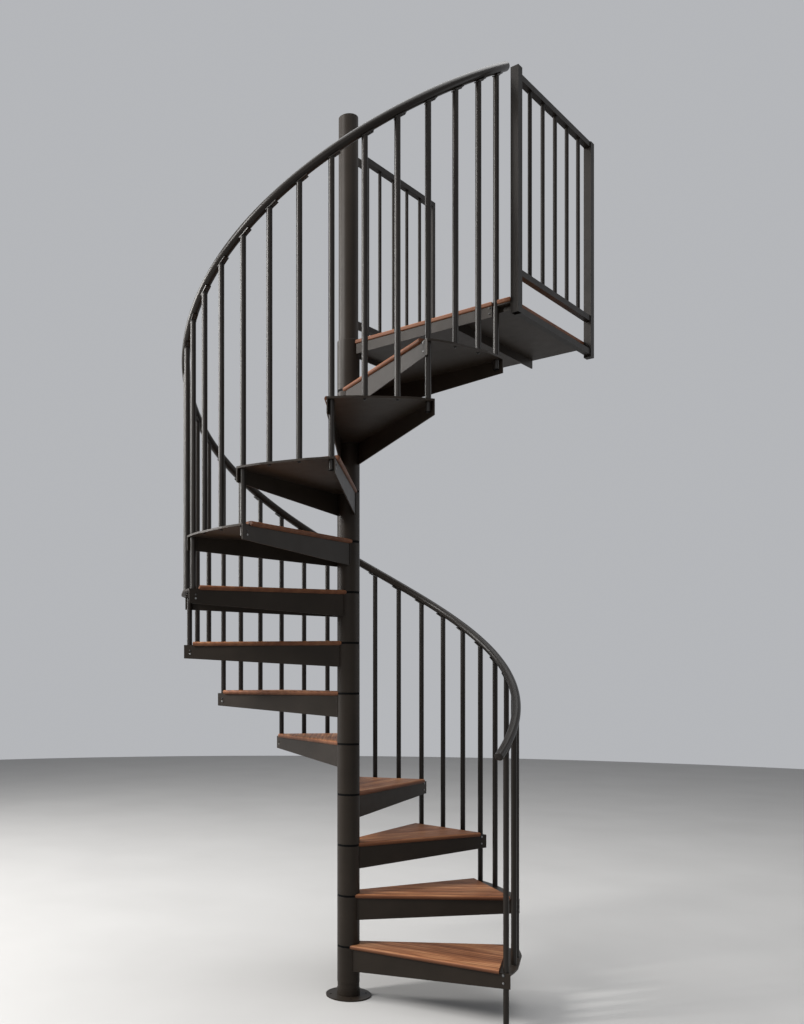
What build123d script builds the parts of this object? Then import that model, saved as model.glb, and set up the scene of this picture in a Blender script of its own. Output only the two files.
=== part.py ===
"""Spiral staircase: a steel centre pole with twelve wood-topped treads,
a square landing, a helical handrail on tube balusters and two landing guards.

Millimetres. The origin is the centre of the base plate's underside, on the
pole's axis. Z is up, X runs along the landing's front edge and Y runs from
that edge to the wall. The flight climbs counter-clockwise seen from above.
"""

from build123d import *

import os
from math import asin, atan2, cos, degrees, pi, radians, sin, tan

os.makedirs("parts", exist_ok=True)

# Flight
riser = 228.6
tread_count = 12
balusters_per_tread = 3
baluster_step = 9.786
tread_angle = balusters_per_tread * baluster_step
landing_level = (tread_count + 1) * riser
last_baluster = tread_count * balusters_per_tread

# Pole, base and hubs
plate_radius = 102
plate_thickness = 6
bolt_hole_radius = 6
bolt_circle_radius = 80
bolt_count = 4
pole_radius = 44.45
pole_wall = 4.8
pole_top = 3984
cap_height = 14
cap_rim = 4
hub_radius = 50.8
hub_bore_radius = 44.75
hub_edge_chamfer = 1
base_collar_radius = 52
base_collar_top = 34
foot_sleeve_radius = 49.5
foot_sleeve_top = 62
spacer_radius = 50.4
spacer_height = 9

# Balusters and handrail: a rail number is a place counted in balusters
baluster_radius = 12
baluster_hole_radius = 12.3
tube_wall = 2
baluster_circle = 738.5
rail_radius = 19
rail_wall = 2.5
rail_underside = 1144
rail_first_number = -0.6
rail_last_number = 36.7
rail_joint_numbers = (9.5, 18.5, 27.5)
tab_length = 52
tab_width = 24
tab_thickness = 4
tab_gap = 0.3
tab_behind = 14
main_foot = -51
rail_cap_length = 5

# Treads: heights are measured from the hub joint at the tread's own level,
# and both long edges stand further from the baluster line at the hub
pan_top = -spacer_height / 2
pan_thickness = 8
rim_margin = 23.5
rim_radius = baluster_circle + rim_margin
root_radius = 20
flange_gap = 12.1
flange_thickness = 5
flange_spread = 16.5
flange_end = rim_radius - 0.5
flange_bottom_hub = -109
flange_bottom_rim = -67

# Boards
board_thickness = 20
board_top = 10
board_edge = 29.5
board_spread = 12
board_setback = 20.5
board_corner = baluster_circle - board_setback
board_inner_radius = 51.3
board_nose = 9
board_fit = 0.3

# Landing
deck_top = -23
deck_thickness = 5
deck_board_thickness = 18
deck_flange_start = 46
deck_left = -18
deck_face = -11
deck_flange_bottom = -67
deck_side_bottom = -49
post_foot_drop = 70
rib_x = 540
rib_thickness = 6

# Guards
guard_x = 824
inner_guard_x = 0
post_size = 34
inner_post_size = 25
corner_post_y = 8
wall_post_y = 710
near_post_y = 134
guard_rail_size = 25
guard_bars = 5
inner_bars = 4
guard_rail_top = 3862
guard_low_rail_top = 3078
corner_post_top = 3880
guard_bar_radius = 8.5
inner_bar_radius = 8
post_cap_height = 4

rise_per_baluster = riser / balusters_per_tread
run_per_radian = rise_per_baluster / radians(baluster_step)
rail_slope = degrees(atan2(run_per_radian, baluster_circle))
rail_pitch = 2 * pi * run_per_radian
rail_lift = rail_radius / cos(radians(rail_slope))
flange_angle = atan2(flange_spread, baluster_circle - hub_radius)
flange_face = flange_gap + flange_thickness / cos(flange_angle)
board_angle = atan2(board_spread, baluster_circle - hub_radius)


def around(turn, height):
    """The place of a piece that is turned about the pole and lifted."""
    return Location((0, 0, height), (0, 0, turn))


def baluster_turn(number):
    """World direction of a baluster, in degrees from the landing's front edge."""
    return (number - last_baluster) * baluster_step


def keep(piece, name):
    """Label one finished component and write its STEP file."""
    piece.label = name
    export_step(piece, "parts/" + name + ".step")


# Base plate with its four bolt holes
with BuildPart() as base_plate:
    with BuildSketch(Plane.XY):
        Circle(plate_radius)
        with PolarLocations(bolt_circle_radius, bolt_count, start_angle=45):
            Circle(bolt_hole_radius, mode=Mode.SUBTRACT)
    extrude(amount=plate_thickness)
keep(base_plate.part, "base_plate")

# Collar and short sleeve at the pole's foot
with BuildPart() as base_collar:
    with BuildSketch(Plane.XY.offset(plate_thickness)):
        Circle(base_collar_radius)
        Circle(hub_bore_radius, mode=Mode.SUBTRACT)
    extrude(amount=base_collar_top - plate_thickness)
    with BuildSketch(Plane.XY.offset(base_collar_top)):
        Circle(foot_sleeve_radius)
        Circle(hub_bore_radius, mode=Mode.SUBTRACT)
    extrude(amount=foot_sleeve_top - base_collar_top)
keep(base_collar.part, "base_collar")

# Spacer rings between one hub sleeve and the next
with BuildPart() as hub_spacers:
    for number in range(1, tread_count + 1):
        with BuildSketch(Plane.XY.offset(number * riser - spacer_height / 2)):
            Circle(spacer_radius)
            Circle(hub_bore_radius, mode=Mode.SUBTRACT)
        extrude(amount=spacer_height)
keep(hub_spacers.part, "hub_spacers")

# Centre pole, one tube from the plate to above the landing
with BuildPart() as centre_pole:
    with BuildSketch(Plane.XY.offset(plate_thickness)):
        Circle(pole_radius)
        Circle(pole_radius - pole_wall, mode=Mode.SUBTRACT)
    extrude(amount=pole_top - plate_thickness)
keep(centre_pole.part, "centre_pole")

# Domed cap on the pole: a short rim and a shallow ball segment
dome_rise = cap_height - cap_rim
dome_radius = (pole_radius**2 + dome_rise**2) / (2 * dome_rise)
dome_centre = pole_top + cap_height - dome_radius
half_dome = asin(pole_radius / dome_radius) / 2
with BuildPart() as pole_cap:
    with BuildSketch(Plane.XZ):
        with BuildLine():
            Polyline((0, pole_top), (pole_radius, pole_top), (pole_radius, pole_top + cap_rim))
            ThreePointArc(
                (pole_radius, pole_top + cap_rim),
                (dome_radius * sin(half_dome), dome_centre + dome_radius * cos(half_dome)),
                (0, pole_top + cap_height),
            )
            Line((0, pole_top + cap_height), (0, pole_top))
        make_face()
    revolve(axis=Axis.Z)
keep(pole_cap.part, "pole_cap")


# One tread pan, with its front baluster line along X
rear_mirror = Plane(
    origin=(0, 0, 0),
    x_dir=(0, 0, 1),
    z_dir=(-sin(radians(tread_angle / 2)), cos(radians(tread_angle / 2)), 0),
)


def rear_point(along, across):
    """A point given along and outward of the tread's rear baluster line."""
    turn = radians(tread_angle)
    return (along * cos(turn) - across * sin(turn), along * sin(turn) + across * cos(turn))


def splayed(along, across, angle):
    """Distance from the baluster line of an edge that widens towards the hub."""
    return across + (baluster_circle - along) * tan(angle)


def tread_outline(first, last, across, angle):
    """Four corners of a tread between two distances from the pole's axis."""
    near, far = splayed(first, across, angle), splayed(last, across, angle)
    return [(first, -near), (last, -far), rear_point(last, far), rear_point(first, near)]


def hub(bottom, top):
    """One hub sleeve with eased outer edges."""
    with BuildPart() as sleeve:
        with BuildSketch(Plane.XZ):
            with BuildLine():
                Polyline(
                    (hub_bore_radius, bottom),
                    (hub_radius - hub_edge_chamfer, bottom),
                    (hub_radius, bottom + hub_edge_chamfer),
                    (hub_radius, top - hub_edge_chamfer),
                    (hub_radius - hub_edge_chamfer, top),
                    (hub_bore_radius, top),
                    close=True,
                )
            make_face()
        revolve(axis=Axis.Z)
    return sleeve.part


flange_plane = Plane(
    origin=(baluster_circle, -flange_gap, 0),
    x_dir=(cos(flange_angle), sin(flange_angle), 0),
    z_dir=(sin(flange_angle), -cos(flange_angle), 0),
)
with BuildPart() as tread_flange:
    with BuildSketch(flange_plane):
        Polygon(
            (root_radius - baluster_circle, pan_top - pan_thickness),
            (flange_end - baluster_circle, pan_top - pan_thickness),
            (flange_end - baluster_circle, flange_bottom_rim),
            (root_radius - baluster_circle, flange_bottom_hub),
            align=None,
        )
    extrude(amount=flange_thickness)

with BuildPart() as tread_pan:
    with BuildSketch(Plane.XY.offset(pan_top - pan_thickness)):
        Polygon(
            *tread_outline(root_radius, rim_radius + rim_margin, flange_face, flange_angle),
            align=None,
        )
        Circle(rim_radius, mode=Mode.INTERSECT)
        with Locations((baluster_circle, 0), rear_point(baluster_circle, 0)):
            Circle(baluster_hole_radius, mode=Mode.SUBTRACT)
    extrude(amount=pan_thickness)
    add(tread_flange.part)
    add(mirror(tread_flange.part, about=rear_mirror))
    with BuildSketch(Plane.XY.offset(-riser)):
        Circle(hub_radius - 2)
    extrude(amount=riser, mode=Mode.SUBTRACT)

for number in range(1, tread_count + 1):
    hub_bottom = (foot_sleeve_top if number == 1 else spacer_height / 2) - riser
    with BuildPart() as tread:
        add(tread_pan.part)
        add(hub(hub_bottom, -spacer_height / 2))
    place = around(baluster_turn(balusters_per_tread * (number - 1)), number * riser)
    keep(tread.part.moved(place), f"tread_{number:02d}")

# One board with a shallow recess over the pan, then its twelve copies
with BuildPart() as board:
    with BuildSketch(Plane.XY.offset(board_top - board_thickness)):
        Polygon(
            *tread_outline(root_radius, board_corner, board_edge, board_angle),
            align=None,
        )
        Circle(board_inner_radius, mode=Mode.SUBTRACT)
    extrude(amount=board_thickness)
    front_way = Axis((0, 0, 0), (cos(board_angle), sin(board_angle), 0))
    rear_way = Axis(
        (0, 0, 0),
        (
            cos(radians(tread_angle) - board_angle),
            sin(radians(tread_angle) - board_angle),
            0,
        ),
    )
    fillet(board.edges().filter_by(front_way) + board.edges().filter_by(rear_way), board_nose)
    with BuildSketch(Plane.XY.offset(board_top - board_thickness)):
        Polygon(
            *tread_outline(
                root_radius, rim_radius, flange_face + board_fit, flange_angle
            ),
            align=None,
        )
    extrude(amount=board_thickness - board_top + pan_top, mode=Mode.SUBTRACT)

for number in range(1, tread_count + 1):
    place = around(baluster_turn(balusters_per_tread * (number - 1)), number * riser)
    keep(board.part.moved(place), f"tread_board_{number:02d}")


def tube_with_tab(radius, length):
    """One upright: a tube cut to the rail's slope under a flat screw tab.

    The upright stands on the baluster circle along X, and z = 0 is where the
    handrail's underside passes over it.
    """
    slope = radians(rail_slope)
    up_normal = (0, -sin(slope), cos(slope))
    tab_top = Vector(baluster_circle, 0, 0) + Vector(*up_normal) * (-tab_gap)
    tab_bottom = tab_top - Vector(*up_normal) * tab_thickness
    with BuildPart() as upright:
        with BuildSketch(Plane.XY.offset(-length)):
            with Locations((baluster_circle, 0)):
                Circle(radius)
                Circle(radius - tube_wall, mode=Mode.SUBTRACT)
        extrude(amount=length + 2 * radius)
        split(bisect_by=Plane(origin=tab_bottom, x_dir=(1, 0, 0), z_dir=up_normal), keep=Keep.BOTTOM)
        with BuildSketch(Plane(origin=tab_bottom, x_dir=(1, 0, 0), z_dir=up_normal)):
            with Locations((0, tab_length / 2 - tab_behind)):
                Rectangle(tab_width, tab_length)
        extrude(amount=tab_thickness)
    return upright.part


main_upright = tube_with_tab(baluster_radius, rail_underside - main_foot)
newel_upright = tube_with_tab(baluster_radius, rail_underside)
rim_uprights = [
    tube_with_tab(baluster_radius, rail_underside - riser + rise_per_baluster * place - pan_top)
    for place in (1, 2)
]


# Newel, main balusters and the pairs that stand on the tread rims
keep(newel_upright.moved(around(baluster_turn(0), rail_underside)), "newel_post")

with BuildPart() as main_balusters:
    for number in range(1, tread_count + 1):
        place = around(
            baluster_turn(balusters_per_tread * number), rail_underside + number * riser
        )
        add(main_upright.moved(place))
keep(main_balusters.part, "main_balusters")

with BuildPart() as rim_balusters:
    for number in range(1, tread_count + 1):
        for place_on_rim, upright in enumerate(rim_uprights, start=1):
            order = balusters_per_tread * (number - 1) + place_on_rim
            place = around(baluster_turn(order), rail_underside + order * rise_per_baluster)
            add(upright.moved(place))
keep(rim_balusters.part, "rim_balusters")

# Helical handrail in four lengths, each a bent tube
rail_limits = (rail_first_number, *rail_joint_numbers, rail_last_number)
for section, (first, last) in enumerate(zip(rail_limits[:-1], rail_limits[1:]), start=1):
    with BuildPart() as handrail:
        with BuildLine():
            rail_path = Helix(
                pitch=rail_pitch,
                height=(last - first) * rise_per_baluster,
                radius=baluster_circle,
            )
        with BuildSketch(Plane(origin=rail_path @ 0, z_dir=rail_path % 0)):
            Circle(rail_radius)
            Circle(rail_radius - rail_wall, mode=Mode.SUBTRACT)
        sweep(path=rail_path, is_frenet=True)
    rail_level = rail_underside + rail_lift + first * rise_per_baluster
    keep(handrail.part.moved(around(baluster_turn(first), rail_level)), f"handrail_{section}")

# Flat caps on the handrail's two ends
with BuildPart() as handrail_caps:
    for end, outward in ((rail_first_number, -1), (rail_last_number, 1)):
        turn = radians(baluster_turn(end))
        slope = radians(rail_slope)
        heading = Vector(-sin(turn) * cos(slope), cos(turn) * cos(slope), sin(slope)) * outward
        centre = Vector(
            baluster_circle * cos(turn),
            baluster_circle * sin(turn),
            rail_underside + rail_lift + end * rise_per_baluster,
        )
        with BuildSketch(Plane(origin=centre, z_dir=heading)):
            Circle(rail_radius)
        extrude(amount=rail_cap_length)
keep(handrail_caps.part, "handrail_caps")

# Landing pan: plate, front flange that steps back at the last baluster, sides and hub
deck_under = landing_level + deck_top - deck_thickness
deck_low = landing_level + deck_flange_bottom
deck_side_low = landing_level + deck_side_bottom
beam_end = baluster_circle - baluster_radius - 1
step_back = baluster_radius + 4
wall_plane = wall_post_y + post_size / 2
deck_side = guard_x - post_size / 2

with BuildPart() as landing_pan:
    with BuildSketch(Plane.XY.offset(deck_under)):
        Polygon(
            (deck_left, deck_face),
            (deck_side, deck_face),
            (deck_side, wall_plane),
            (deck_left, wall_plane),
            align=None,
        )
        with Locations((baluster_circle, 0)):
            Circle(baluster_hole_radius, mode=Mode.SUBTRACT)
        with Locations((baluster_circle, -baluster_hole_radius)):
            Rectangle(
                2 * baluster_hole_radius, 2 * baluster_hole_radius, mode=Mode.SUBTRACT
            )
    extrude(amount=deck_thickness)
    with BuildSketch(Plane.XY.offset(deck_low)):
        Polygon(
            (deck_flange_start, deck_face),
            (beam_end, deck_face),
            (beam_end, deck_face + flange_thickness),
            (deck_flange_start, deck_face + flange_thickness),
            align=None,
        )
    extrude(amount=deck_under - deck_low)
    with BuildSketch(Plane.XY.offset(deck_side_low)):
        Polygon(
            (beam_end - flange_thickness, deck_face + flange_thickness),
            (beam_end, deck_face + flange_thickness),
            (beam_end, step_back),
            (deck_side, step_back),
            (deck_side, wall_plane),
            (deck_side - flange_thickness, wall_plane),
            (deck_side - flange_thickness, step_back + flange_thickness),
            (beam_end - flange_thickness, step_back + flange_thickness),
            align=None,
        )
        Polygon(
            (deck_left, deck_flange_start),
            (deck_left + flange_thickness, deck_flange_start),
            (deck_left + flange_thickness, wall_plane),
            (deck_left, wall_plane),
            align=None,
        )
    extrude(amount=deck_under - deck_side_low)
    with BuildSketch(Plane.XY.offset(landing_level - riser)):
        Circle(hub_radius - 2)
    extrude(amount=riser, mode=Mode.SUBTRACT)
    add(hub(landing_level - riser + spacer_height / 2, landing_level))
keep(landing_pan.part, "landing_pan")

# Rib under the landing plate
with BuildPart() as landing_rib:
    with BuildSketch(Plane.XY.offset(deck_low)):
        Polygon(
            (rib_x, deck_face + flange_thickness),
            (rib_x + rib_thickness, deck_face + flange_thickness),
            (rib_x + rib_thickness, wall_plane - 8),
            (rib_x, wall_plane - 8),
            align=None,
        )
    extrude(amount=deck_under - deck_low)
keep(landing_rib.part, "landing_rib")

# Landing board with the hub cut-out and the notch for the last baluster
with BuildPart() as landing_board:
    with BuildSketch(Plane.XY.offset(landing_level + deck_top)):
        Polygon(
            (deck_left, deck_face - 5),
            (deck_side, deck_face - 5),
            (deck_side, wall_plane),
            (deck_left, wall_plane),
            align=None,
        )
        Circle(board_inner_radius, mode=Mode.SUBTRACT)
        with Locations((baluster_circle, 0)):
            Circle(baluster_hole_radius, mode=Mode.SUBTRACT)
        with Locations((baluster_circle, -baluster_hole_radius)):
            Rectangle(
                2 * baluster_hole_radius, 2 * baluster_hole_radius, mode=Mode.SUBTRACT
            )
    extrude(amount=deck_board_thickness)
keep(landing_board.part, "landing_board")

# Corner post with its cap, standing beside the landing's free corner
post_foot = landing_level - post_foot_drop
with BuildPart() as corner_post:
    with BuildSketch(Plane.XY.offset(post_foot)):
        with Locations((guard_x, corner_post_y)):
            Rectangle(post_size, post_size)
            Rectangle(post_size - 2 * tube_wall, post_size - 2 * tube_wall, mode=Mode.SUBTRACT)
    extrude(amount=corner_post_top - post_foot)
    with BuildSketch(Plane.XY.offset(corner_post_top)):
        with Locations((guard_x, corner_post_y)):
            Rectangle(post_size, post_size)
    extrude(amount=post_cap_height)
keep(corner_post.part, "corner_post")

# Side beam between the feet of the corner post and the wall post
post_inner = corner_post_y + post_size / 2
wall_inner = wall_post_y - post_size / 2
with BuildPart() as side_beam:
    with BuildSketch(Plane.XY.offset(post_foot)):
        Polygon(
            (guard_x - guard_rail_size / 2, post_inner),
            (guard_x + guard_rail_size / 2, post_inner),
            (guard_x + guard_rail_size / 2, wall_inner),
            (guard_x - guard_rail_size / 2, wall_inner),
            align=None,
        )
    extrude(amount=guard_rail_size)
keep(side_beam.part, "side_beam")


def guard_rail(x, start, end, top):
    """One square rail along Y."""
    with BuildPart() as rail:
        with BuildSketch(Plane.XY.offset(top - guard_rail_size)):
            Polygon(
                (x - guard_rail_size / 2, start),
                (x + guard_rail_size / 2, start),
                (x + guard_rail_size / 2, end),
                (x - guard_rail_size / 2, end),
                align=None,
            )
        extrude(amount=guard_rail_size)
    return rail.part


# Outer guard: two rails, five bars and the wall post
wall_post_foot = landing_level - 80
bar_bottom = guard_low_rail_top
bar_length = guard_rail_top - guard_rail_size - bar_bottom
outer_pitch = (wall_post_y - corner_post_y) / (guard_bars + 1)
with BuildPart() as outer_guard:
    add(guard_rail(guard_x, post_inner, wall_inner, guard_rail_top))
    add(guard_rail(guard_x, post_inner, wall_inner, guard_low_rail_top))
    with BuildSketch(Plane.XY.offset(bar_bottom)):
        for bar in range(1, guard_bars + 1):
            with Locations((guard_x, corner_post_y + bar * outer_pitch)):
                Circle(guard_bar_radius)
    extrude(amount=bar_length)
    with BuildSketch(Plane.XY.offset(wall_post_foot)):
        with Locations((guard_x, wall_post_y)):
            Rectangle(post_size, post_size)
    extrude(amount=guard_rail_top - wall_post_foot)
keep(outer_guard.part, "outer_guard")

# Inner guard behind the pole: two posts, two rails and four bars
deck_board_top = landing_level + deck_top + deck_board_thickness
inner_wall_y = wall_plane - inner_post_size / 2
inner_pitch = (inner_wall_y - near_post_y) / (inner_bars + 1)
with BuildPart() as inner_guard:
    with BuildSketch(Plane.XY.offset(deck_board_top)):
        for y in (near_post_y, inner_wall_y):
            with Locations((inner_guard_x, y)):
                Rectangle(inner_post_size, inner_post_size)
    extrude(amount=guard_rail_top - deck_board_top)
    add(guard_rail(inner_guard_x, near_post_y, inner_wall_y, guard_rail_top))
    add(guard_rail(inner_guard_x, near_post_y, inner_wall_y, guard_low_rail_top))
    with BuildSketch(Plane.XY.offset(bar_bottom)):
        for bar in range(1, inner_bars + 1):
            with Locations((inner_guard_x, near_post_y + bar * inner_pitch)):
                Circle(inner_bar_radius)
    extrude(amount=bar_length)
keep(inner_guard.part, "inner_guard")

# Two flat clips that tie the inner guard to the pole
clip_height = 38
clip_thickness = 6
clip_levels = (guard_low_rail_top - 32, guard_rail_top - 62)
with BuildPart() as pole_clips:
    for level in clip_levels:
        with BuildSketch(Plane.XY.offset(level)):
            Polygon(
                (-clip_thickness / 2, 0),
                (clip_thickness / 2, 0),
                (clip_thickness / 2, near_post_y - inner_post_size / 2),
                (-clip_thickness / 2, near_post_y - inner_post_size / 2),
                align=None,
            )
            Circle(pole_radius, mode=Mode.SUBTRACT)
        extrude(amount=clip_height)
keep(pole_clips.part, "pole_clips")
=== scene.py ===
# %% [markdown]
# # A spiral staircase in steel and stained wood
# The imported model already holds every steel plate, tube and board at its real size. This lesson loads it
# as a fixed frame and dresses it: powder-coated steel, stained boards with eased edges, one continuous
# handrail, and the screws, welds and plugs that the real staircase is put together with.
# Everything is in metres, with the origin at the foot of the pole, +Z up, +X along the landing's front
# edge and +Y across the landing.

# %% Load the frame
import math

import bpy
import numpy as np
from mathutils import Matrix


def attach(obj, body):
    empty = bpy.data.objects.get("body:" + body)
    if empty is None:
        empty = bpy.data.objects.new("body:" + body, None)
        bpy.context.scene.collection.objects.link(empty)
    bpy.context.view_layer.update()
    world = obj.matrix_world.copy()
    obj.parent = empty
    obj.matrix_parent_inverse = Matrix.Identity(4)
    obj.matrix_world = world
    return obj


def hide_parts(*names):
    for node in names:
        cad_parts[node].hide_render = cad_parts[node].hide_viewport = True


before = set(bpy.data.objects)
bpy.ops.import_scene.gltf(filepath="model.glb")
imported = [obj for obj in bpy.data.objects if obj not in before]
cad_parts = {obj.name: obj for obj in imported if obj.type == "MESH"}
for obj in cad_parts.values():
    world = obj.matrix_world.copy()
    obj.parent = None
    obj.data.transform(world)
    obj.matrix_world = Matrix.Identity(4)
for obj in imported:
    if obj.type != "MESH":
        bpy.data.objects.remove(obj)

scene = bpy.context.scene
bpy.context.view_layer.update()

# %% [markdown]
# The camera comes first. The photograph was taken level, from eye height, and cropped off-centre, so the
# camera stays level and its lens is shifted instead of tilted: that keeps every post upright.

# %% Camera
photo_width, photo_height = 804, 1024
focal_pixels = 985.08
axis_pixel = (253.48, 679.06)
camera_data = bpy.data.cameras.new("photo_camera")
camera = bpy.data.objects.new("photo_camera", camera_data)
scene.collection.objects.link(camera)
scene.camera = camera
camera.location = (2.6665, -3.6310, 1.4372)
camera.rotation_euler = (math.radians(90), 0, math.radians(41.80))
camera_data.sensor_width = 36
camera_data.lens = focal_pixels * camera_data.sensor_width / photo_height
camera_data.shift_x = (photo_width / 2 - axis_pixel[0]) / photo_height
camera_data.shift_y = (axis_pixel[1] - photo_height / 2) / photo_height
print("lens", round(camera_data.lens, 2))
print("shift", round(camera_data.shift_x, 4), round(camera_data.shift_y, 4))

# %% [markdown]
# A studio for dark metal needs something pale to mirror. Wide soft lamps stand left, right and above the
# staircase, and the world fills the shadows. Two tall lamps stand at the left: they light the edges that
# face that way and draw the bright line that runs down the left of every tube.

# %% Lamps and world
scene.view_settings.view_transform = "Standard"


def soft_lamp(name, place, aim, size, watts, tint):
    """A rectangular area lamp at place whose face looks at aim; size is its width and height."""
    data = bpy.data.lights.new(name, "AREA")
    data.shape = "RECTANGLE"
    data.size, data.size_y = size
    data.energy = watts
    data.color = tint
    lamp = bpy.data.objects.new(name, data)
    scene.collection.objects.link(lamp)
    look = np.subtract(aim, place)
    across = math.hypot(look[0], look[1])
    lamp.location = place
    lamp.rotation_euler = (math.atan2(across, -look[2]), 0, math.atan2(-look[0], look[1]))


warm, plain, cool = (1.0, 0.98, 0.95), (1.0, 1.0, 1.0), (0.96, 0.98, 1.0)
soft_lamp("tall_left", (-6.6, -2.6, 4.4), (0.0, 0.0, 2.4), (2.6, 4.0), 520, warm)
soft_lamp("high_left", (-2.3, -4.4, 4.9), (0.4, 0.1, 2.9), (0.8, 2.6), 340, warm)
soft_lamp("front_fill", (3.0, -4.8, 3.6), (0.1, 0.0, 1.6), (3.0, 3.0), 30, plain)
soft_lamp("overhead", (0.2, -0.3, 9.0), (0.0, 0.0, 0.0), (9.0, 9.0), 620, plain)
soft_lamp("back_right", (4.2, 3.2, 3.0), (0.2, 0.0, 1.8), (2.0, 3.4), 25, cool)

# One grey all round: at full strength for the eye and for mirrors, weaker as the light that fills shadows
studio_grey, fill_strength = (0.46, 0.47, 0.49, 1), 0.45
world = bpy.data.worlds.new("studio")
scene.world = world
world.use_nodes = True
sky = world.node_tree.nodes
sky.clear()
links = world.node_tree.links
seen = sky.new("ShaderNodeLightPath")
mirrored = sky.new("ShaderNodeMath")
mirrored.operation = "MAXIMUM"
links.new(seen.outputs["Is Glossy Ray"], mirrored.inputs[0])
links.new(seen.outputs["Is Transmission Ray"], mirrored.inputs[1])
either = sky.new("ShaderNodeMath")
either.operation = "MAXIMUM"
links.new(seen.outputs["Is Camera Ray"], either.inputs[0])
links.new(mirrored.outputs[0], either.inputs[1])
backdrop = sky.new("ShaderNodeBackground")
backdrop.inputs["Color"].default_value = studio_grey
ambient = sky.new("ShaderNodeBackground")
ambient.inputs["Color"].default_value = studio_grey
ambient.inputs["Strength"].default_value = fill_strength
pick = sky.new("ShaderNodeMixShader")
links.new(either.outputs[0], pick.inputs[0])
links.new(ambient.outputs[0], pick.inputs[1])
links.new(backdrop.outputs[0], pick.inputs[2])
links.new(pick.outputs[0], sky.new("ShaderNodeOutputWorld").inputs["Surface"])

# %% [markdown]
# Each finish is a small node graph that reads Object coordinates. Since every object sits unturned at the
# origin, those are the staircase's own metres, so a pattern keeps its real scale on every piece.


# %% Tools for finishes
def finish_graph(name):
    """A new material: its node tree, its Principled shader and a node with the object's coordinates."""
    material = bpy.data.materials.new(name)
    material.use_nodes = True
    tree = material.node_tree
    shader = next(node for node in tree.nodes if node.type == "BSDF_PRINCIPLED")
    place = tree.nodes.new("ShaderNodeTexCoord")
    return material, tree, shader, place.outputs["Object"]


def stretched(tree, place, scale, turn=0.0, offset=(0, 0, 0)):
    """Coordinates moved by offset, turned by -turn about Z and multiplied by scale along each axis."""
    turned_place = tree.nodes.new("ShaderNodeMapping")
    turned_place.inputs["Rotation"].default_value = (0, 0, -turn)
    turned_place.inputs["Location"].default_value = offset
    tree.links.new(place, turned_place.inputs["Vector"])
    scaled = tree.nodes.new("ShaderNodeVectorMath")
    scaled.operation = "MULTIPLY"
    scaled.inputs[1].default_value = scale
    tree.links.new(turned_place.outputs[0], scaled.inputs[0])
    return scaled.outputs[0]


def noise(tree, vector, scale, detail=3.0, roughness=0.5, distortion=0.0):
    """A noise texture's grey value at the given coordinates."""
    node = tree.nodes.new("ShaderNodeTexNoise")
    node.inputs["Scale"].default_value = scale
    node.inputs["Detail"].default_value = detail
    node.inputs["Roughness"].default_value = roughness
    node.inputs["Distortion"].default_value = distortion
    tree.links.new(vector, node.inputs["Vector"])
    return node.outputs["Fac"]


def ramp(tree, value, stops):
    """A colour for each value, from a list of (position, colour) stops."""
    node = tree.nodes.new("ShaderNodeValToRGB")
    elements = node.color_ramp.elements
    for stop, (position, colour) in enumerate(stops):
        element = elements[stop] if stop < 2 else elements.new(position)
        element.position = position
        element.color = (*colour, 1)
    tree.links.new(value, node.inputs["Fac"])
    return node.outputs["Color"]


def between(tree, value, low, high, start=0.0, end=1.0):
    """The value carried from start..end to low..high, clamped."""
    node = tree.nodes.new("ShaderNodeMapRange")
    for socket, number in zip(("From Min", "From Max", "To Min", "To Max"), (start, end, low, high)):
        node.inputs[socket].default_value = number
    tree.links.new(value, node.inputs["Value"])
    return node.outputs["Result"]


def blended(tree, share, first, second, kind="MIX"):
    """Two colours mixed by share, which is a socket or a number."""
    node = tree.nodes.new("ShaderNodeMix")
    node.data_type = "RGBA"
    node.blend_type = kind
    if isinstance(share, float):
        node.inputs["Factor"].default_value = share
    else:
        tree.links.new(share, node.inputs["Factor"])
    tree.links.new(first, node.inputs[6])
    tree.links.new(second, node.inputs[7])
    return node.outputs[2]


def embossed(tree, shader, height, depth, strength=1.0):
    """Bump from a height value: depth is the relief in metres between 0 and 1."""
    node = tree.nodes.new("ShaderNodeBump")
    node.inputs["Distance"].default_value = depth
    node.inputs["Strength"].default_value = strength
    tree.links.new(height, node.inputs["Height"])
    tree.links.new(node.outputs["Normal"], shader.inputs["Normal"])


# %% [markdown]
# The steel is powder coated in a warm charcoal. A powder coat is never one flat grey: it pools a little
# darker in places, its gloss drifts, and close up it has a fine orange-peel skin. Three noises of very
# different scale say those three things. Drawn tube is smoother than plate, and hands polish the rail, so
# those two coats are glossier. The square bars of the guards take a darker copy of the same coat, as
# painted shade.


# %% Powder-coated steel
def powder_coat(name, dark, light, gloss, sheen=1.0, peel=0.00012, fineness=3.0):
    """Charcoal coat: tone from a 15 cm noise between dark and light, roughness drifting about gloss, orange
    peel with dimples of about 1 mm and a relief of peel. Sheen scales every mirror-like reflection. The
    drift is slow and even where fineness is 0, and quicker with small detail above that."""
    material, tree, shader, place = finish_graph(name)
    clouds = noise(tree, place, 6.5, 4.0, 0.55)
    tree.links.new(ramp(tree, clouds, [(0.3, dark), (0.72, light)]), shader.inputs["Base Color"])
    drift = noise(tree, place, 21.0 if fineness > 0 else 7.0, fineness, 0.6)
    tree.links.new(between(tree, drift, gloss - 0.05, gloss + 0.07), shader.inputs["Roughness"])
    embossed(tree, shader, noise(tree, place, 620.0, 1.0), peel, 0.35)
    shader.inputs["Specular IOR Level"].default_value = 0.26
    shader.inputs["Specular Tint"].default_value = (sheen, sheen, sheen, 1)
    return material


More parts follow.
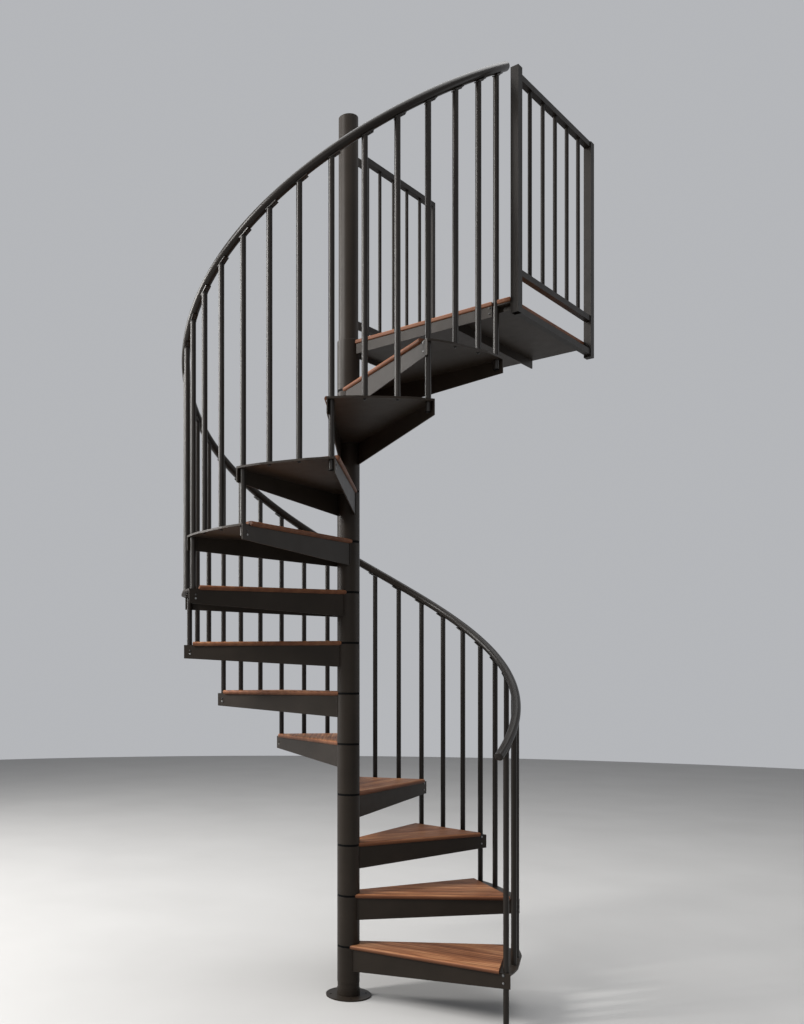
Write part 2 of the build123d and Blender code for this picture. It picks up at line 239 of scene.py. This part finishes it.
smooth = {"peel": 0.00001, "fineness": 0.0}
steel = powder_coat(
    "charcoal_coat", (0.0155, 0.0114, 0.0082), (0.0225, 0.0168, 0.0124), gloss=0.46, sheen=0.6
)
tube_steel = powder_coat(
    "charcoal_tube_coat", (0.0095, 0.0070, 0.0052), (0.0140, 0.0108, 0.0082), gloss=0.33, **smooth
)
rail_steel = powder_coat(
    "charcoal_rail_coat", (0.0125, 0.0100, 0.0082), (0.0185, 0.0152, 0.0126), 0.30, sheen=0.6, **smooth
)
# Painted shade: the guards' coat is the same paint, made darker
guard_painted_shade_coat = powder_coat(
    "charcoal_guard_painted_shade_coat", (0.0080, 0.0062, 0.0048), (0.0120, 0.0094, 0.0074), gloss=0.46, sheen=0.5
)

# %% [markdown]
# Stained wood is built as the tree grew: long fibres run along each board, so every texture is stretched
# along the board and squeezed across it. Broad bands carry the figure, fine streaks the pores, slow clouds
# the uneven stain, and a few peaks the knots. The edges are darker: partly the darker stain that sanded
# edges drink, partly painted shade that grows darker the more a face turns downward. Each board
# is laid from a few staves that took the stain a little differently, with fine dark lines at their joints.
# A turn for each board points its grain along its front edge, as the photograph shows.


# %% Stained wood
def stained_wood(name, turn, offset, stave=0.088):
    """Reddish-brown board: figure, pores and staves along local X, in a frame turned by turn."""
    material, tree, shader, place = finish_graph(name)
    along = stretched(tree, place, (1, 1, 1), turn, offset)
    # Which stave a point is on: its local Y divided by the stave's width, rounded down
    parts = tree.nodes.new("ShaderNodeSeparateXYZ")
    tree.links.new(along, parts.inputs[0])
    step = tree.nodes.new("ShaderNodeMath")
    step.operation = "DIVIDE"
    step.inputs[1].default_value = stave
    tree.links.new(parts.outputs["Y"], step.inputs[0])
    whole = tree.nodes.new("ShaderNodeMath")
    whole.operation = "FLOOR"
    tree.links.new(step.outputs[0], whole.inputs[0])
    chance = tree.nodes.new("ShaderNodeTexWhiteNoise")
    chance.noise_dimensions = "1D"
    tree.links.new(whole.outputs[0], chance.inputs["W"])
    # Each stave slides its grain by its own chance, so the figure breaks at the joints
    slide = tree.nodes.new("ShaderNodeVectorMath")
    slide.operation = "SCALE"
    slide.inputs["Scale"].default_value = 3.0
    tree.links.new(chance.outputs["Color"], slide.inputs[0])
    moved = tree.nodes.new("ShaderNodeVectorMath")
    moved.operation = "ADD"
    tree.links.new(along, moved.inputs[0])
    tree.links.new(slide.outputs[0], moved.inputs[1])
    grain_place = moved.outputs[0]
    # Broad figure: stretched noise bends the lines of a band wave
    broad = noise(tree, stretched(tree, grain_place, (1.1, 22.0, 22.0)), 1.0, 2.0, 0.45, 0.4)
    wave = tree.nodes.new("ShaderNodeTexWave")
    wave.bands_direction = "Y"
    wave.inputs["Scale"].default_value = 1.0
    wave.inputs["Distortion"].default_value = 7.0
    wave.inputs["Detail"].default_value = 2.0
    wave.inputs["Detail Scale"].default_value = 0.9
    tree.links.new(stretched(tree, grain_place, (0.8, 15.0, 15.0)), wave.inputs["Vector"])
    figure = blended(tree, 0.25, broad, wave.outputs["Fac"])
    colour = ramp(
        tree,
        figure,
        [
            (0.22, (0.125, 0.047, 0.021)),
            (0.78, (0.470, 0.232, 0.116)),
            (0.42, (0.240, 0.098, 0.046)),
            (0.58, (0.345, 0.154, 0.073)),
        ],
    )
    # Pores: short dark streaks about a millimetre wide
    streaks = noise(tree, stretched(tree, grain_place, (9.0, 260.0, 260.0)), 1.0, 2.0, 0.6)
    pore_tone = ramp(tree, streaks, [(0.34, (0.50, 0.43, 0.38)), (0.52, (1.0, 1.0, 1.0))])
    colour = blended(tree, 0.85, colour, pore_tone, "MULTIPLY")
    # Slow clouds where the stain soaked in unevenly
    soaked = noise(tree, stretched(tree, grain_place, (3.0, 9.0, 9.0)), 1.0, 3.0, 0.6, 0.8)
    soak_tone = ramp(
        tree,
        soaked,
        [(0.32, (0.56, 0.47, 0.42)), (0.68, (1.15, 1.30, 1.36)), (0.50, (1.0, 0.98, 0.94))],
    )
    colour = blended(tree, 0.9, colour, soak_tone, "MULTIPLY")
    # A few small knots, where the noise peaks
    peaks = noise(tree, stretched(tree, grain_place, (11.0, 26.0, 26.0)), 1.0, 2.0, 0.5, 0.6)
    knot_tone = ramp(tree, peaks, [(0.68, (1.0, 1.0, 1.0)), (0.76, (0.42, 0.34, 0.30))])
    colour = blended(tree, 0.85, colour, knot_tone, "MULTIPLY")
    # The edges take darker stain than the top, and painted shade darkens them further the more they face
    # downward
    facing = tree.nodes.new("ShaderNodeNewGeometry")
    facing_parts = tree.nodes.new("ShaderNodeSeparateXYZ")
    tree.links.new(facing.outputs["Normal"], facing_parts.inputs[0])
    upward = facing_parts.outputs["Z"]
    edge_stain_and_painted_shade = ramp(
        tree,
        between(tree, upward, 0.0, 1.0, -0.3, 0.9),
        [(0.0, (0.075, 0.030, 0.016)), (0.55, (0.170, 0.068, 0.037)), (1.0, (0.290, 0.122, 0.064))],
    )
    colour = blended(tree, between(tree, upward, 0.85, 0.0, 0.3, 0.95), colour, edge_stain_and_painted_shade)
    # Stave tone and the fine dark joint
    stave_tone = ramp(tree, chance.outputs["Value"], [(0.0, (0.90, 0.88, 0.86)), (1.0, (1.12, 1.10, 1.06))])
    colour = blended(tree, 0.9, colour, stave_tone, "MULTIPLY")
    fraction = tree.nodes.new("ShaderNodeMath")
    fraction.operation = "FRACT"
    tree.links.new(step.outputs[0], fraction.inputs[0])
    joint = ramp(tree, fraction.outputs[0], [(0.0, (0.45, 0.40, 0.38)), (0.012, (1.0, 1.0, 1.0))])
    colour = blended(tree, 0.8, colour, joint, "MULTIPLY")
    tree.links.new(colour, shader.inputs["Base Color"])
    tree.links.new(between(tree, streaks, 0.60, 0.46, 0.3, 0.7), shader.inputs["Roughness"])
    embossed(tree, shader, streaks, 0.00035, 0.5)
    shader.inputs["Specular IOR Level"].default_value = 0.15
    return material


# %% [markdown]
# Three small finishes are left: bright zinc for the screw heads, black oxide for the anchors and dark
# screws, and black nylon for the spacer rings and the plugs in the tubes' feet.


# %% Small finishes
def plain_finish(name, dark, light, rough, metal=0.0, scale=90.0, gloss=0.5):
    """A tone that drifts between dark and light, for small parts; rough is its mean roughness."""
    material, tree, shader, place = finish_graph(name)
    drift = noise(tree, place, scale, 3.0, 0.6)
    tree.links.new(ramp(tree, drift, [(0.3, dark), (0.7, light)]), shader.inputs["Base Color"])
    tree.links.new(between(tree, drift, rough - 0.06, rough + 0.08), shader.inputs["Roughness"])
    shader.inputs["Metallic"].default_value = metal
    shader.inputs["Specular IOR Level"].default_value = gloss
    return material


zinc = plain_finish("zinc_plate", (0.17, 0.17, 0.17), (0.29, 0.29, 0.29), 0.36, 1.0, 240.0)
black_oxide = plain_finish("black_oxide", (0.006, 0.006, 0.006), (0.014, 0.013, 0.012), 0.38)
nylon = plain_finish("black_nylon", (0.0015, 0.0015, 0.0015), (0.003, 0.003, 0.003), 0.70, gloss=0.06)

# %% [markdown]
# Now the steel that the model already shows right keeps its mesh and only takes a finish. The tubes take
# their darker, glossier coat, and the guards the darkest one: the same paint darkened as painted shade. The
# wood comes further down.

# %% Finish the steel nodes
coats = dict.fromkeys(("main_balusters", "rim_balusters", "newel_post"), tube_steel)
coats |= dict.fromkeys(("corner_post", "outer_guard", "inner_guard", "side_beam"), guard_painted_shade_coat)
coats["hub_spacers"] = nylon
for name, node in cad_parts.items():
    coat = coats.get(name, steel)
    node.data.materials.clear()
    node.data.materials.append(coat)
print("finished nodes", len(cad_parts))

# %% [markdown]
# The new pieces are made from arrays. A surface is a grid of points over two parameters, a turned part is
# a profile carried round an axis, and a row of equal screws is one shape set at many places in one step.

# %% Measures of the staircase
riser = 0.2286
treads = 12
steps_per_tread = 3
last_number = steps_per_tread * treads
step_angle = math.radians(9.786)
landing_level = (treads + 1) * riser
# The balusters' circle and tube radius, and the handrail over the floor at baluster 0
circle, tube_radius = 0.7385, 0.012
rail_radius = 0.019
rail_underside = 1.144
# Heights below a tread's level and the flange's outer face ahead of its baluster line
plate_top, plate_thickness = -0.0045, 0.008
flange_face, tube_foot = 0.0171, -0.051
rise = riser / steps_per_tread
slope = math.atan2(rise / step_angle, circle)
rail_axis = rail_underside + rail_radius / math.cos(slope)


def turn_of(number):
    """World direction of a baluster, in radians from the landing's front edge."""
    return (np.asarray(number, float) - last_number) * step_angle


# %% Tools for shapes
def grid_faces(rows, columns, ring_of_rows=False):
    """Corner numbers of a grid's cells: cell (i, j) joins (i, j), (i, j+1), (i+1, j+1) and (i+1, j).
    Columns always close into a ring; rows do so too for a ring-shaped tube."""
    i, j = np.meshgrid(np.arange(rows - (not ring_of_rows)), np.arange(columns), indexing="ij")
    below, after = (i + 1) % rows, (j + 1) % columns
    cells = [i * columns + j, i * columns + after, below * columns + after, below * columns + j]
    return np.stack(cells, -1).reshape(-1, 4)


def capped(points, lowest, highest):
    """A closed shell from a grid of rings (rows, columns, 3): a fan of triangles joins the first ring to
    the point lowest and another joins the last ring to the point highest."""
    rows, columns = points.shape[:2]
    j = np.arange(columns)
    after = (j + 1) % columns
    last = (rows - 1) * columns
    low, high = rows * columns, rows * columns + 1
    fans = [
        np.stack([np.full(columns, low), after, j], -1),
        np.stack([np.full(columns, high), last + j, last + after], -1),
    ]
    corners = np.concatenate([points.reshape(-1, 3), [lowest, highest]])
    return corners, [grid_faces(rows, columns), np.concatenate(fans)]


def turned(profile, sides=16):
    """A solid of revolution about Z: each (radius, height) of the profile is one ring, and corner j of a
    ring stands at the angle 2 pi j / sides."""
    radius, height = np.array(profile, float).T
    angle = 2 * np.pi * np.arange(sides) / sides
    rings = np.stack(
        [radius[:, None] * np.cos(angle), radius[:, None] * np.sin(angle), height[:, None] + 0 * angle], -1
    )
    return capped(rings, (0, 0, height[0]), (0, 0, height[-1]))


def at_places(shape, origin, up, side):
    """Copies of one shape: each copy's Z points along up, its X along side, and its zero sits at origin."""
    corners, faces = shape
    count = len(origin)
    up, side = (np.broadcast_to(axis, (count, 3)) for axis in (up, side))
    third = np.cross(up, side)
    moved = (
        origin[:, None]
        + corners[:, 0, None] * side[:, None]
        + corners[:, 1, None] * third[:, None]
        + corners[:, 2, None] * up[:, None]
    )
    shift = len(corners) * np.arange(count)[:, None, None]
    return moved.reshape(-1, 3), [(face + shift).reshape(-1, face.shape[1]) for face in faces]


def together(*shapes):
    """Several shapes as one: the corner numbers of each start where the last one's end."""
    corners, faces, start = [], [], 0
    for points, cells in shapes:
        corners.append(points)
        faces += [cell + start for cell in cells]
        start += len(points)
    return np.concatenate(corners), faces


def new_piece(name, shape, material, sharp=40):
    """One mesh object from corners and face arrays, smooth but for edges sharper than the given degrees."""
    corners, faces = shape
    mesh = bpy.data.meshes.new(name)
    mesh.from_pydata(corners.tolist(), [], [row for face in faces for row in face.tolist()])
    mesh.validate()
    mesh.shade_smooth()
    mesh.set_sharp_from_angle(angle=math.radians(sharp))
    mesh.materials.append(material)
    piece = bpy.data.objects.new(name, mesh)
    scene.collection.objects.link(piece)
    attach(piece, "root")
    print(name, "corners", len(corners), "faces", sum(map(len, faces)))
    return piece


# %% [markdown]
# The handrail is one tube bent to a helix. On the real staircase it arrives in lengths, but the joints
# are dressed flush, so here a single surface is carried along the whole climb, with a softly domed cap at
# each end. A bevelled curve could make it too; the grid keeps every ring exactly on the helix.


# %% Handrail
def helix_frame(number):
    """Centre and axes of the rail at a baluster number: the centre climbs one rise for each step of turn;
    the tangent leans by the rail's slope, out points away from the pole, over is across both."""
    turn = turn_of(number)
    out = np.stack([np.cos(turn), np.sin(turn), 0 * turn], -1)
    centre = circle * out + np.stack([0 * turn, 0 * turn, rail_axis + rise * np.asarray(number)], -1)
    flat = np.stack([-np.sin(turn), np.cos(turn), 0 * turn], -1)
    ahead = math.cos(slope) * flat + math.sin(slope) * np.array([0, 0, 1.0])
    return centre, out, ahead, np.cross(out, ahead)


# The rail runs a little past the first and the last baluster
rail_start, rail_end = -0.6, last_number + 0.7
rail_steps, rail_sides = 300, 28
cap_length, cap_rings = 0.005, 6
rail_numbers = np.linspace(rail_start, rail_end, rail_steps)
dome = np.linspace(0, np.pi / 2, cap_rings + 1)[:-1]
# Rings: the first cap's dome backwards, the rail, then the last cap's dome
ring_number = np.concatenate([np.full(cap_rings, rail_start), rail_numbers, np.full(cap_rings, rail_end)])
ring_shift = np.concatenate([-cap_length * np.sin(dome[::-1]), 0 * rail_numbers, cap_length * np.sin(dome)])
ring_radius = rail_radius * np.concatenate([np.cos(dome[::-1]), 1 + 0 * rail_numbers, np.cos(dome)])
centre, out, ahead, over = helix_frame(ring_number)
centre = centre + ring_shift[:, None] * ahead
around = 2 * np.pi * np.arange(rail_sides) / rail_sides
rail_rings = centre[:, None] + ring_radius[:, None, None] * (
    np.cos(around)[:, None] * out[:, None] + np.sin(around)[:, None] * -over[:, None]
)
first, _, first_ahead, _ = helix_frame(rail_start)
final, _, final_ahead, _ = helix_frame(rail_end)
rail_shape = capped(rail_rings, first - cap_length * first_ahead, final + cap_length * final_ahead)
handrail = new_piece("handrail", rail_shape, rail_steel)
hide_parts("handrail_1", "handrail_2", "handrail_3", "handrail_4", "handrail_caps")
print("handrail length", round(float(np.linalg.norm(np.diff(centre, axis=0), axis=1).sum()), 3))

# %% [markdown]
# The tread boards already have their rounded nosings in the model, so they keep their meshes and only take
# wood. The landing's board is still sawn square there, and a joiner never leaves a sawn edge, so it is
# made again with its edges eased. One closed outline is walked with an edge profile, and each step of the
# profile moves the outline inwards along its own corner bisectors.


# %% Boards
def arc(radius, start, end, count):
    """Points on a circle about the pole's axis, from one angle to another."""
    angle = np.linspace(start, end, count)
    return radius * np.stack([np.cos(angle), np.sin(angle)], -1)


def line(start, end, count):
    """Evenly spaced points from start to end."""
    return np.asarray(start) + np.linspace(0, 1, count)[:, None] * np.subtract(end, start)


def bisectors(outline):
    """For each point, the vector that moves both edges meeting there inwards by one: the sum of the two
    edges' inward normals, divided by one plus their dot product."""
    edge = np.roll(outline, -1, 0) - outline
    inward = np.stack([-edge[:, 1], edge[:, 0]], -1) / np.linalg.norm(edge, axis=1)[:, None]
    before = np.roll(inward, 1, 0)
    return (inward + before) / (1 + (inward * before).sum(1))[:, None]


def board_shape(outline, ease, bottom, thickness):
    """A board: rings of the outline climb its edge, each moved inwards by the quarter-round of radius
    ease, and one flat face closes the top and another the bottom."""
    steps = 6
    quarter = np.linspace(0, np.pi / 2, steps)
    inset = np.concatenate([1 - np.sin(quarter), 1 - np.sin(quarter[::-1])])
    lift = np.concatenate([1 - np.cos(quarter), np.cos(quarter[::-1]) - 1])
    at_top = np.repeat([0.0, 1.0], steps)
    inset = ease * inset[:, None]
    height = at_top[:, None] * thickness + ease * lift[:, None]
    # Flat bands beside each quarter-round keep the shading of the faces flat
    band = 0.0015
    low, high = slice(0, steps), slice(steps, None)
    low_end, high_start = slice(steps - 1, steps), slice(steps, steps + 1)
    inset = np.concatenate(
        [inset[:1] + band, inset[low], inset[low_end], inset[high_start], inset[high], inset[-1:] + band]
    )
    height = np.concatenate(
        [
            height[:1],
            height[low],
            height[low_end] + band,
            height[high_start] - band,
            height[high],
            height[-1:],
        ]
    )
    rings = outline + inset[..., None] * bisectors(outline)
    rings = np.concatenate([rings, bottom + height[..., None]], -1)
    rows, columns = rings.shape[:2]
    ends = [np.arange(columns)[::-1][None], (rows - 1) * columns + np.arange(columns)[None]]
    return rings.reshape(-1, 3), [grid_faces(rows, columns), *ends]


# A board's front edge fans out from its baluster line, by 12 mm from hub to rim
edge_splay = math.atan2(0.012, 0.6877)
for number in range(1, treads + 1):
    front_edge = float(turn_of(steps_per_tread * (number - 1))) + edge_splay
    wood = stained_wood(f"stain_{number:02d}", front_edge, (0.37 * number, 0.03 * number, 0.21 * number))
    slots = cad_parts[f"tread_board_{number:02d}"].data.materials
    slots.clear()
    slots.append(wood)
print("stained treads", treads)

# %% [markdown]
# The landing's board follows its outline: cut round the hub sleeve, notched for the last baluster, with
# its grain along the front edge.

# %% Landing board
deck_left, deck_right, deck_front, deck_back = -0.018, 0.807, -0.016, 0.727
board_top, board_thickness, side_ease = -0.005, 0.018, 0.0045
hub_edge, notch = 0.0513, 0.0123
hub_front = -math.asin(-deck_front / hub_edge)
hub_left = math.pi - math.acos(-deck_left / hub_edge)
notch_arc = circle * np.array([1, 0]) + arc(notch, math.pi, 0, 10)
deck_plan = np.concatenate(
    [
        line(arc(hub_edge, hub_front, 0, 2)[0], (circle - notch, deck_front), 12)[:-1],
        [(circle - notch, deck_front)],
        notch_arc,
        line((circle + notch, deck_front), (deck_right, deck_front), 3)[:-1],
        line((deck_right, deck_front), (deck_right, deck_back), 12)[:-1],
        line((deck_right, deck_back), (deck_left, deck_back), 12)[:-1],
        line((deck_left, deck_back), arc(hub_edge, hub_left, 0, 2)[0], 10)[:-1],
        arc(hub_edge, hub_left, hub_front, 12)[:-1],
    ]
)
board_bottom = landing_level + board_top - board_thickness
deck_shape = board_shape(deck_plan, np.full(len(deck_plan), side_ease), board_bottom, board_thickness)
deck_wood = stained_wood("stain_landing", 0.0, (1.3, 0.04, 0.9))
deck = new_piece("landing_board_wood", deck_shape, deck_wood)
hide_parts("landing_board")

# %% [markdown]
# Screws hold the tubes. A pan-head screw is a turned profile with a small socket in its crown. Two go up
# through each tab into the handrail, two through each flange's end into the baluster between the treads,
# and a bolt with its washer holds every rim baluster from below.


# %% Screw heads
def pan_head(radius, height, sides=14):
    """A domed head that stands on z = 0 and points up: radius grows fast and then the crown closes, with
    a round socket in the middle."""
    return turned(
        [
            (radius * 0.98, -0.0002),
            (radius, 0.0),
            (radius, height * 0.35),
            (radius * 0.93, height * 0.68),
            (radius * 0.75, height * 0.92),
            (radius * 0.50, height),
            (radius * 0.36, height),
            (radius * 0.33, height * 0.45),
        ],
        sides,
    )


def hex_bolt(radius, height, washer_radius, washer_height):
    """A washer with a bolt's head on it, both turned profiles, the head with six sides."""
    washer = turned(
        [
            (washer_radius * 0.97, 0),
            (washer_radius, washer_height * 0.3),
            (washer_radius, washer_height * 0.8),
            (washer_radius * 0.95, washer_height),
        ],
        20,
    )
    head = turned(
        [
            (radius, washer_height * 0.9),
            (radius, washer_height + height * 0.85),
            (radius * 0.88, washer_height + height),
        ],
        6,
    )
    return together(washer, head)


# %% Handrail screws
up_axis = np.array([0, 0, 1.0])
every = np.arange(last_number + 1)
_, every_out, every_ahead, every_over = helix_frame(every)
# The tab's lower face lies this far under the rail, and its screws this far uphill of the tube's middle
tab_depth, tab_screw_spots = 0.0043, (0.019, 0.030)
rail_under = circle * every_out + (rail_underside + rise * every)[:, None] * up_axis
tab_under = rail_under - tab_depth * every_over
screw_places = np.concatenate([tab_under + along * every_ahead for along in tab_screw_spots])
tab_screws = at_places(
    pan_head(0.0042, 0.0026), screw_places, -np.tile(every_over, (2, 1)), np.tile(every_out, (2, 1))
)
new_piece("handrail_screws", tab_screws, black_oxide)


# %% [markdown]
# Welds are small ripples, one for each drop of the rod. A weld along a line is a tube whose radius swells
# every few millimetres, and a weld round a tube is the same tube closed into a ring.


# %% Welds
def bead(low, high, radius, ripple=0.005):
    """A weld along Z: radius swells by a sixth once every ripple."""
    height = np.linspace(low, high, int((high - low) / ripple * 4) + 1)
    around = 2 * np.pi * np.arange(7) / 7
    swell = radius * (1 + np.sin(2 * np.pi * height / ripple) / 6)
    swell[[0, -1]] *= 0.5
    ring = np.stack([swell[:, None] * np.cos(around), swell[:, None] * np.sin(around)], -1)
    rings = np.concatenate([ring, np.broadcast_to(height[:, None, None], (*ring.shape[:2], 1))], -1)
    return capped(rings, (0, 0, low), (0, 0, high))


def ring_bead(wide, deep, radius, ripples=22):
    """A weld round a tube that meets a plate: an ellipse of half-axes wide and deep, the bead's own radius
    swelling by a seventh once for each ripple."""
    turn = 2 * np.pi * np.arange(3 * ripples) / (3 * ripples)
    path = np.stack([wide * np.cos(turn), deep * np.sin(turn), 0 * turn], -1)
    outward = np.stack([np.cos(turn), np.sin(turn), 0 * turn], -1)
    swell = radius * (1 + np.sin(ripples * turn) / 7)
    around = 2 * np.pi * np.arange(6) / 6
    rings = (
        path[:, None]
        + swell[:, None, None] * np.cos(around)[None, :, None] * outward[:, None]
        + swell[:, None, None] * np.sin(around)[None, :, None] * up_axis
    )
    rows, columns = rings.shape[:2]
    return rings.reshape(-1, 3), [grid_faces(rows, columns, ring_of_rows=True)]


def on_treads(along, across, height, numbers, rear=False):
    """Places on the tread frames: along the front or rear baluster line, across it away from the tread, and
    height from the tread's own level, with the line's direction and the way across."""
    numbers = np.asarray(numbers, float)
    turn = turn_of(steps_per_tread * (numbers - (0 if rear else 1)))
    out = np.stack([np.cos(turn), np.sin(turn), 0 * turn], -1)
    away = (1 if rear else -1) * np.stack([-np.sin(turn), np.cos(turn), 0 * turn], -1)
    return along * out + across * away + (numbers * riser + height)[:, None] * up_axis, out, away


# Each flange's upright weld on the hub sleeve: its place along and across, its ends and its radius
all_treads = np.arange(1, treads + 1)
weld_along, weld_across, weld_foot, weld_head, weld_radius = 0.0385, 0.0350, -0.107, -0.0060, 0.0026
hub_beads = []
for rear in (False, True):
    places, out, _ = on_treads(weld_along, weld_across, 0.0, all_treads, rear)
    hub_beads.append(at_places(bead(weld_foot, weld_head, weld_radius), places, up_axis, out))
new_piece("hub_welds", together(*hub_beads), steel)

small_bead = 0.0012
slant = tube_radius / math.cos(slope)
tab_beads = at_places(ring_bead(tube_radius, slant, small_bead), tab_under, every_over, every_out)
new_piece("tab_welds", tab_beads, tube_steel)

rim_numbers = np.setdiff1d(every, every[::steps_per_tread])
_, rim_out, _, _ = helix_frame(rim_numbers)
rim_tread = 1 + rim_numbers // steps_per_tread
rim_feet = circle * rim_out + (rim_tread * riser + plate_top)[:, None] * up_axis
foot_beads = at_places(ring_bead(tube_radius, tube_radius, small_bead), rim_feet, up_axis, rim_out)
new_piece("foot_welds", foot_beads, steel)

# %% Bolts under the rim and screws through the flanges
rim_bolts = at_places(
    hex_bolt(0.0055, 0.0035, 0.0085, 0.0010), rim_feet - plate_thickness * up_axis, -up_axis, rim_out
)
new_piece("rim_bolts", rim_bolts, black_oxide)

# Height on the flange, whether on the rear line, the finish, and whether a washer lies under the head
screw_rows = [
    (-0.0135, False, "zinc", True),
    (-0.0465, False, "zinc", False),
    (-0.0310, True, "dark", False),
    (-0.0465, True, "zinc", False),
]
screw_along = circle - 0.006
heads = {"zinc": [], "dark": []}
washer = turned([(0.0076, -0.0002), (0.0078, 0.0), (0.0078, 0.0010), (0.0072, 0.0013)], 20)
for height, rear, tone, on_washer in screw_rows:
    places, out, away = on_treads(screw_along, flange_face, height, all_treads, rear)
    if on_washer:
        heads["dark"].append(at_places(washer, places, away, out))
        places = places + 0.0012 * away
    heads[tone].append(at_places(pan_head(0.0045, 0.0028), places, away, out))
new_piece("flange_screws", together(*heads["zinc"]), zinc)
new_piece("flange_screws_dark", together(*heads["dark"]), black_oxide)

# Two screws through the landing's front flange beside its baluster
beam_screw_x, beam_face = 0.716, -0.011
beam_places = np.array([[beam_screw_x, beam_face, landing_level - below] for below in (0.0285, 0.0515)])
forward, sideways = np.array([0, -1.0, 0]), np.array([1.0, 0, 0])
beam_screws = at_places(pan_head(0.0047, 0.0028), beam_places, forward, sideways)
new_piece("beam_screws", beam_screws, black_oxide)

# %% Plugs and anchors
plug = turned([(0.0117, 0.0), (0.0118, 0.0008), (0.0110, 0.0016), (0.0070, 0.0021), (0.0025, 0.0023)], 20)
plug_places, plug_out, _ = on_treads(circle, 0.0, tube_foot, all_treads, True)
new_piece("tube_plugs", at_places(plug, plug_places, -up_axis, plug_out), nylon)

anchor_circle, anchor_lift = 0.080, 0.0015
anchor_turn = math.radians(45) + np.arange(4) * math.pi / 2
anchor_out = np.stack([np.cos(anchor_turn), np.sin(anchor_turn), 0 * anchor_turn], -1)
anchor_places = anchor_circle * anchor_out + anchor_lift * up_axis
anchors = at_places(pan_head(0.0054, 0.0034, 18), anchor_places, up_axis, anchor_out)
new_piece("floor_anchors", anchors, black_oxide)

# %% [markdown]
# A plain pale floor catches the shadow. It belongs to the stage, not to the staircase.

# %% Floor
floor_radius, floor_sides = 14, 96
floor_mesh = bpy.data.meshes.new("floor")
floor_turn = 2 * np.pi * np.arange(floor_sides) / floor_sides
floor_ring = np.stack([np.cos(floor_turn), np.sin(floor_turn), 0 * floor_turn], -1)
floor_mesh.from_pydata((floor_radius * floor_ring).tolist(), [], [list(range(floor_sides))])
floor = bpy.data.objects.new("floor", floor_mesh)
scene.collection.objects.link(floor)
pale, pale_tree, pale_shader, pale_place = finish_graph("pale_floor")
pale_clouds = noise(pale_tree, pale_place, 1.3, 3.0)
pale_tone = ramp(pale_tree, pale_clouds, [(0.3, (0.46, 0.456, 0.45)), (0.7, (0.49, 0.486, 0.48))])
pale_tree.links.new(pale_tone, pale_shader.inputs["Base Color"])
pale_shader.inputs["Roughness"].default_value = 0.7
floor_mesh.materials.append(pale)
